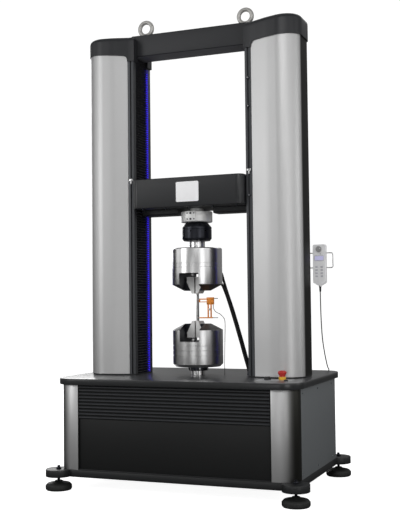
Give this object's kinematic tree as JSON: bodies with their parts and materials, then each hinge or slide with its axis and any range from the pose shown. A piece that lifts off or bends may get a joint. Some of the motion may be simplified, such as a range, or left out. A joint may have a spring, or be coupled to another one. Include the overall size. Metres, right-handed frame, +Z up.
{
  "type": "universal testing machine",
  "caption": "Floor-standing twin-column universal testing machine with a moving crosshead, load cell, wedge grips, clip-on strain sensor, pendant and emergency stop.",
  "frame": {"origin": "on the floor, under the middle of the base", "axes": "+Z up, -Y towards the operator at the front, +X to the machine's right as the operator sees it"},
  "size_m": [1.216, 0.842, 2.1761],
  "materials": {
    "black_paint": "satin black powder coat",
    "tabletop_black": "glossy black paint",
    "satin_aluminium": "satin anodised",
    "side_grey": "grey satin powder coat",
    "dark_extrusion": "dark anodised extrusion",
    "bellows_rubber": "pleated rubber-coated cloth",
    "blue_light": "lit blue light strip",
    "turned_steel": "turned and plated",
    "bright_steel": "ground bright steel",
    "black_oxide": "black oxide",
    "foot_rubber": "moulded matt black",
    "hose_rubber": "smooth black",
    "cable_grey": "grey sheath",
    "sensor_orange": "orange anodised",
    "stop_red": "glossy red",
    "stop_yellow": "yellow",
    "handset_grey": "pale moulded"
  },
  "bodies": {
    "frame": {"base_frame": "black_paint", "tabletop": "tabletop_black", "front_panel": "black_paint", "rear_panel": "black_paint", "bearing_beam": "black_paint", "servo_motor": "black_paint", "drive_belt": "hose_rubber", "top_beam": "black_paint", "lower_grip": "turned_steel", "specimen": "bright_steel", "lower_adapter": "bright_steel", "extensometer": "sensor_orange", "stop_collar": "stop_yellow", "handset": "handset_grey", "handset_bracket": "bright_steel", "air_hose_front": "hose_rubber", "air_hose_rear": "hose_rubber", "sensor_cable": "cable_grey", "handset_cord": "cable_grey", "levelling_foot_front_left": "foot_rubber", "levelling_foot_front_right": "foot_rubber", "levelling_foot_rear_left": "foot_rubber", "levelling_foot_rear_right": "foot_rubber", "front_post_left": "satin_aluminium", "side_panel_left": "side_grey", "column_cover_left": "satin_aluminium", "front_strip_left": "dark_extrusion", "rear_strip_left": "dark_extrusion", "light_strip_left": "blue_light", "bellows_lower_left": "bellows_rubber", "bellows_upper_left": "bellows_rubber", "guide_column_left": "bright_steel", "top_cap_left": "black_paint", "eye_bolt_left": "bright_steel", "front_post_right": "satin_aluminium", "side_panel_right": "side_grey", "column_cover_right": "satin_aluminium", "front_strip_right": "dark_extrusion", "rear_strip_right": "dark_extrusion", "light_strip_right": "blue_light", "bellows_lower_right": "bellows_rubber", "bellows_upper_right": "bellows_rubber", "guide_column_right": "bright_steel", "top_cap_right": "black_paint", "eye_bolt_right": "bright_steel"},
    "crosshead": {"crosshead_beam": "black_paint", "crosshead_cover": "black_paint", "load_cell": "bright_steel", "ring_nut": "black_oxide", "upper_grip": "turned_steel"},
    "upper_jaw_left": {"upper_jaw_left": "bright_steel"},
    "upper_jaw_right": {"upper_jaw_right": "bright_steel"},
    "lower_jaw_left": {"lower_jaw_left": "bright_steel"},
    "lower_jaw_right": {"lower_jaw_right": "bright_steel"},
    "ball_screw_left": {"ball_screw_left": "bright_steel"},
    "ball_screw_right": {"ball_screw_right": "bright_steel"},
    "motor_pulley": {"motor_pulley": "bright_steel"},
    "stop_button": {"stop_button": "stop_red"},
    "power_knob": {"power_knob": "black_paint"},
    "jog_wheel": {"jog_wheel": "black_paint"}
  },
  "joints": [
    {"name": "crosshead_slide", "type": "slide", "parent": "frame", "child": "crosshead", "axis": [0, 0, 1], "range_m": [0, 0.5], "deforming": ["bellows_lower_left", "bellows_lower_right", "bellows_upper_left", "bellows_upper_right", "air_hose_front", "air_hose_rear"]},
    {"name": "ball_screw_left_spin", "type": "hinge", "parent": "frame", "child": "ball_screw_left", "pos_m": [-0.352, -0.042, 1], "axis": [0, 0, 1], "range_deg": [-9020, 20]},
    {"name": "ball_screw_right_spin", "type": "hinge", "parent": "frame", "child": "ball_screw_right", "pos_m": [0.352, -0.042, 1], "axis": [0, 0, 1], "range_deg": [-9020, 20]},
    {"name": "motor_pulley_spin", "type": "hinge", "parent": "frame", "child": "motor_pulley", "pos_m": [0.11, 0.148, 0.35], "axis": [0, 0, 1], "range_deg": [-15597, 20]},
    {"name": "upper_jaw_left_slide", "type": "slide", "parent": "crosshead", "child": "upper_jaw_left", "axis": [-0.4226, 0, 0.9063], "range_m": [0, 0.015]},
    {"name": "upper_jaw_right_slide", "type": "slide", "parent": "crosshead", "child": "upper_jaw_right", "axis": [0.4226, 0, 0.9063], "range_m": [0, 0.015]},
    {"name": "lower_jaw_left_slide", "type": "slide", "parent": "frame", "child": "lower_jaw_left", "axis": [-0.4226, 0, -0.9063], "range_m": [0, 0.015]},
    {"name": "lower_jaw_right_slide", "type": "slide", "parent": "frame", "child": "lower_jaw_right", "axis": [0.4226, 0, -0.9063], "range_m": [0, 0.015]},
    {"name": "stop_button_press", "type": "slide", "parent": "frame", "child": "stop_button", "axis": [0, 0, -1], "range_m": [0, 0.004], "stiffness_N_per_m": 2500, "springref_m": -0.002},
    {"name": "power_knob_turn", "type": "hinge", "parent": "frame", "child": "power_knob", "pos_m": [0.386, -0.21, 0.5], "axis": [0, 0, -1], "range_deg": [0, 90]},
    {"name": "jog_wheel_turn", "type": "hinge", "parent": "frame", "child": "jog_wheel", "pos_m": [0.544, 0.0782, 1.062], "axis": [0, -1, 0], "continuous": true}
  ],
  "couplings": [
    {"joint": "ball_screw_left_spin", "follows": "crosshead_slide", "rad_per_m": -314.16},
    {"joint": "ball_screw_right_spin", "follows": "crosshead_slide", "rad_per_m": -314.16},
    {"joint": "motor_pulley_spin", "follows": "crosshead_slide", "rad_per_m": -543.74},
    {"joint": "upper_jaw_right_slide", "follows": "upper_jaw_left_slide", "ratio": 1},
    {"joint": "lower_jaw_right_slide", "follows": "lower_jaw_left_slide", "ratio": 1}
  ]
}
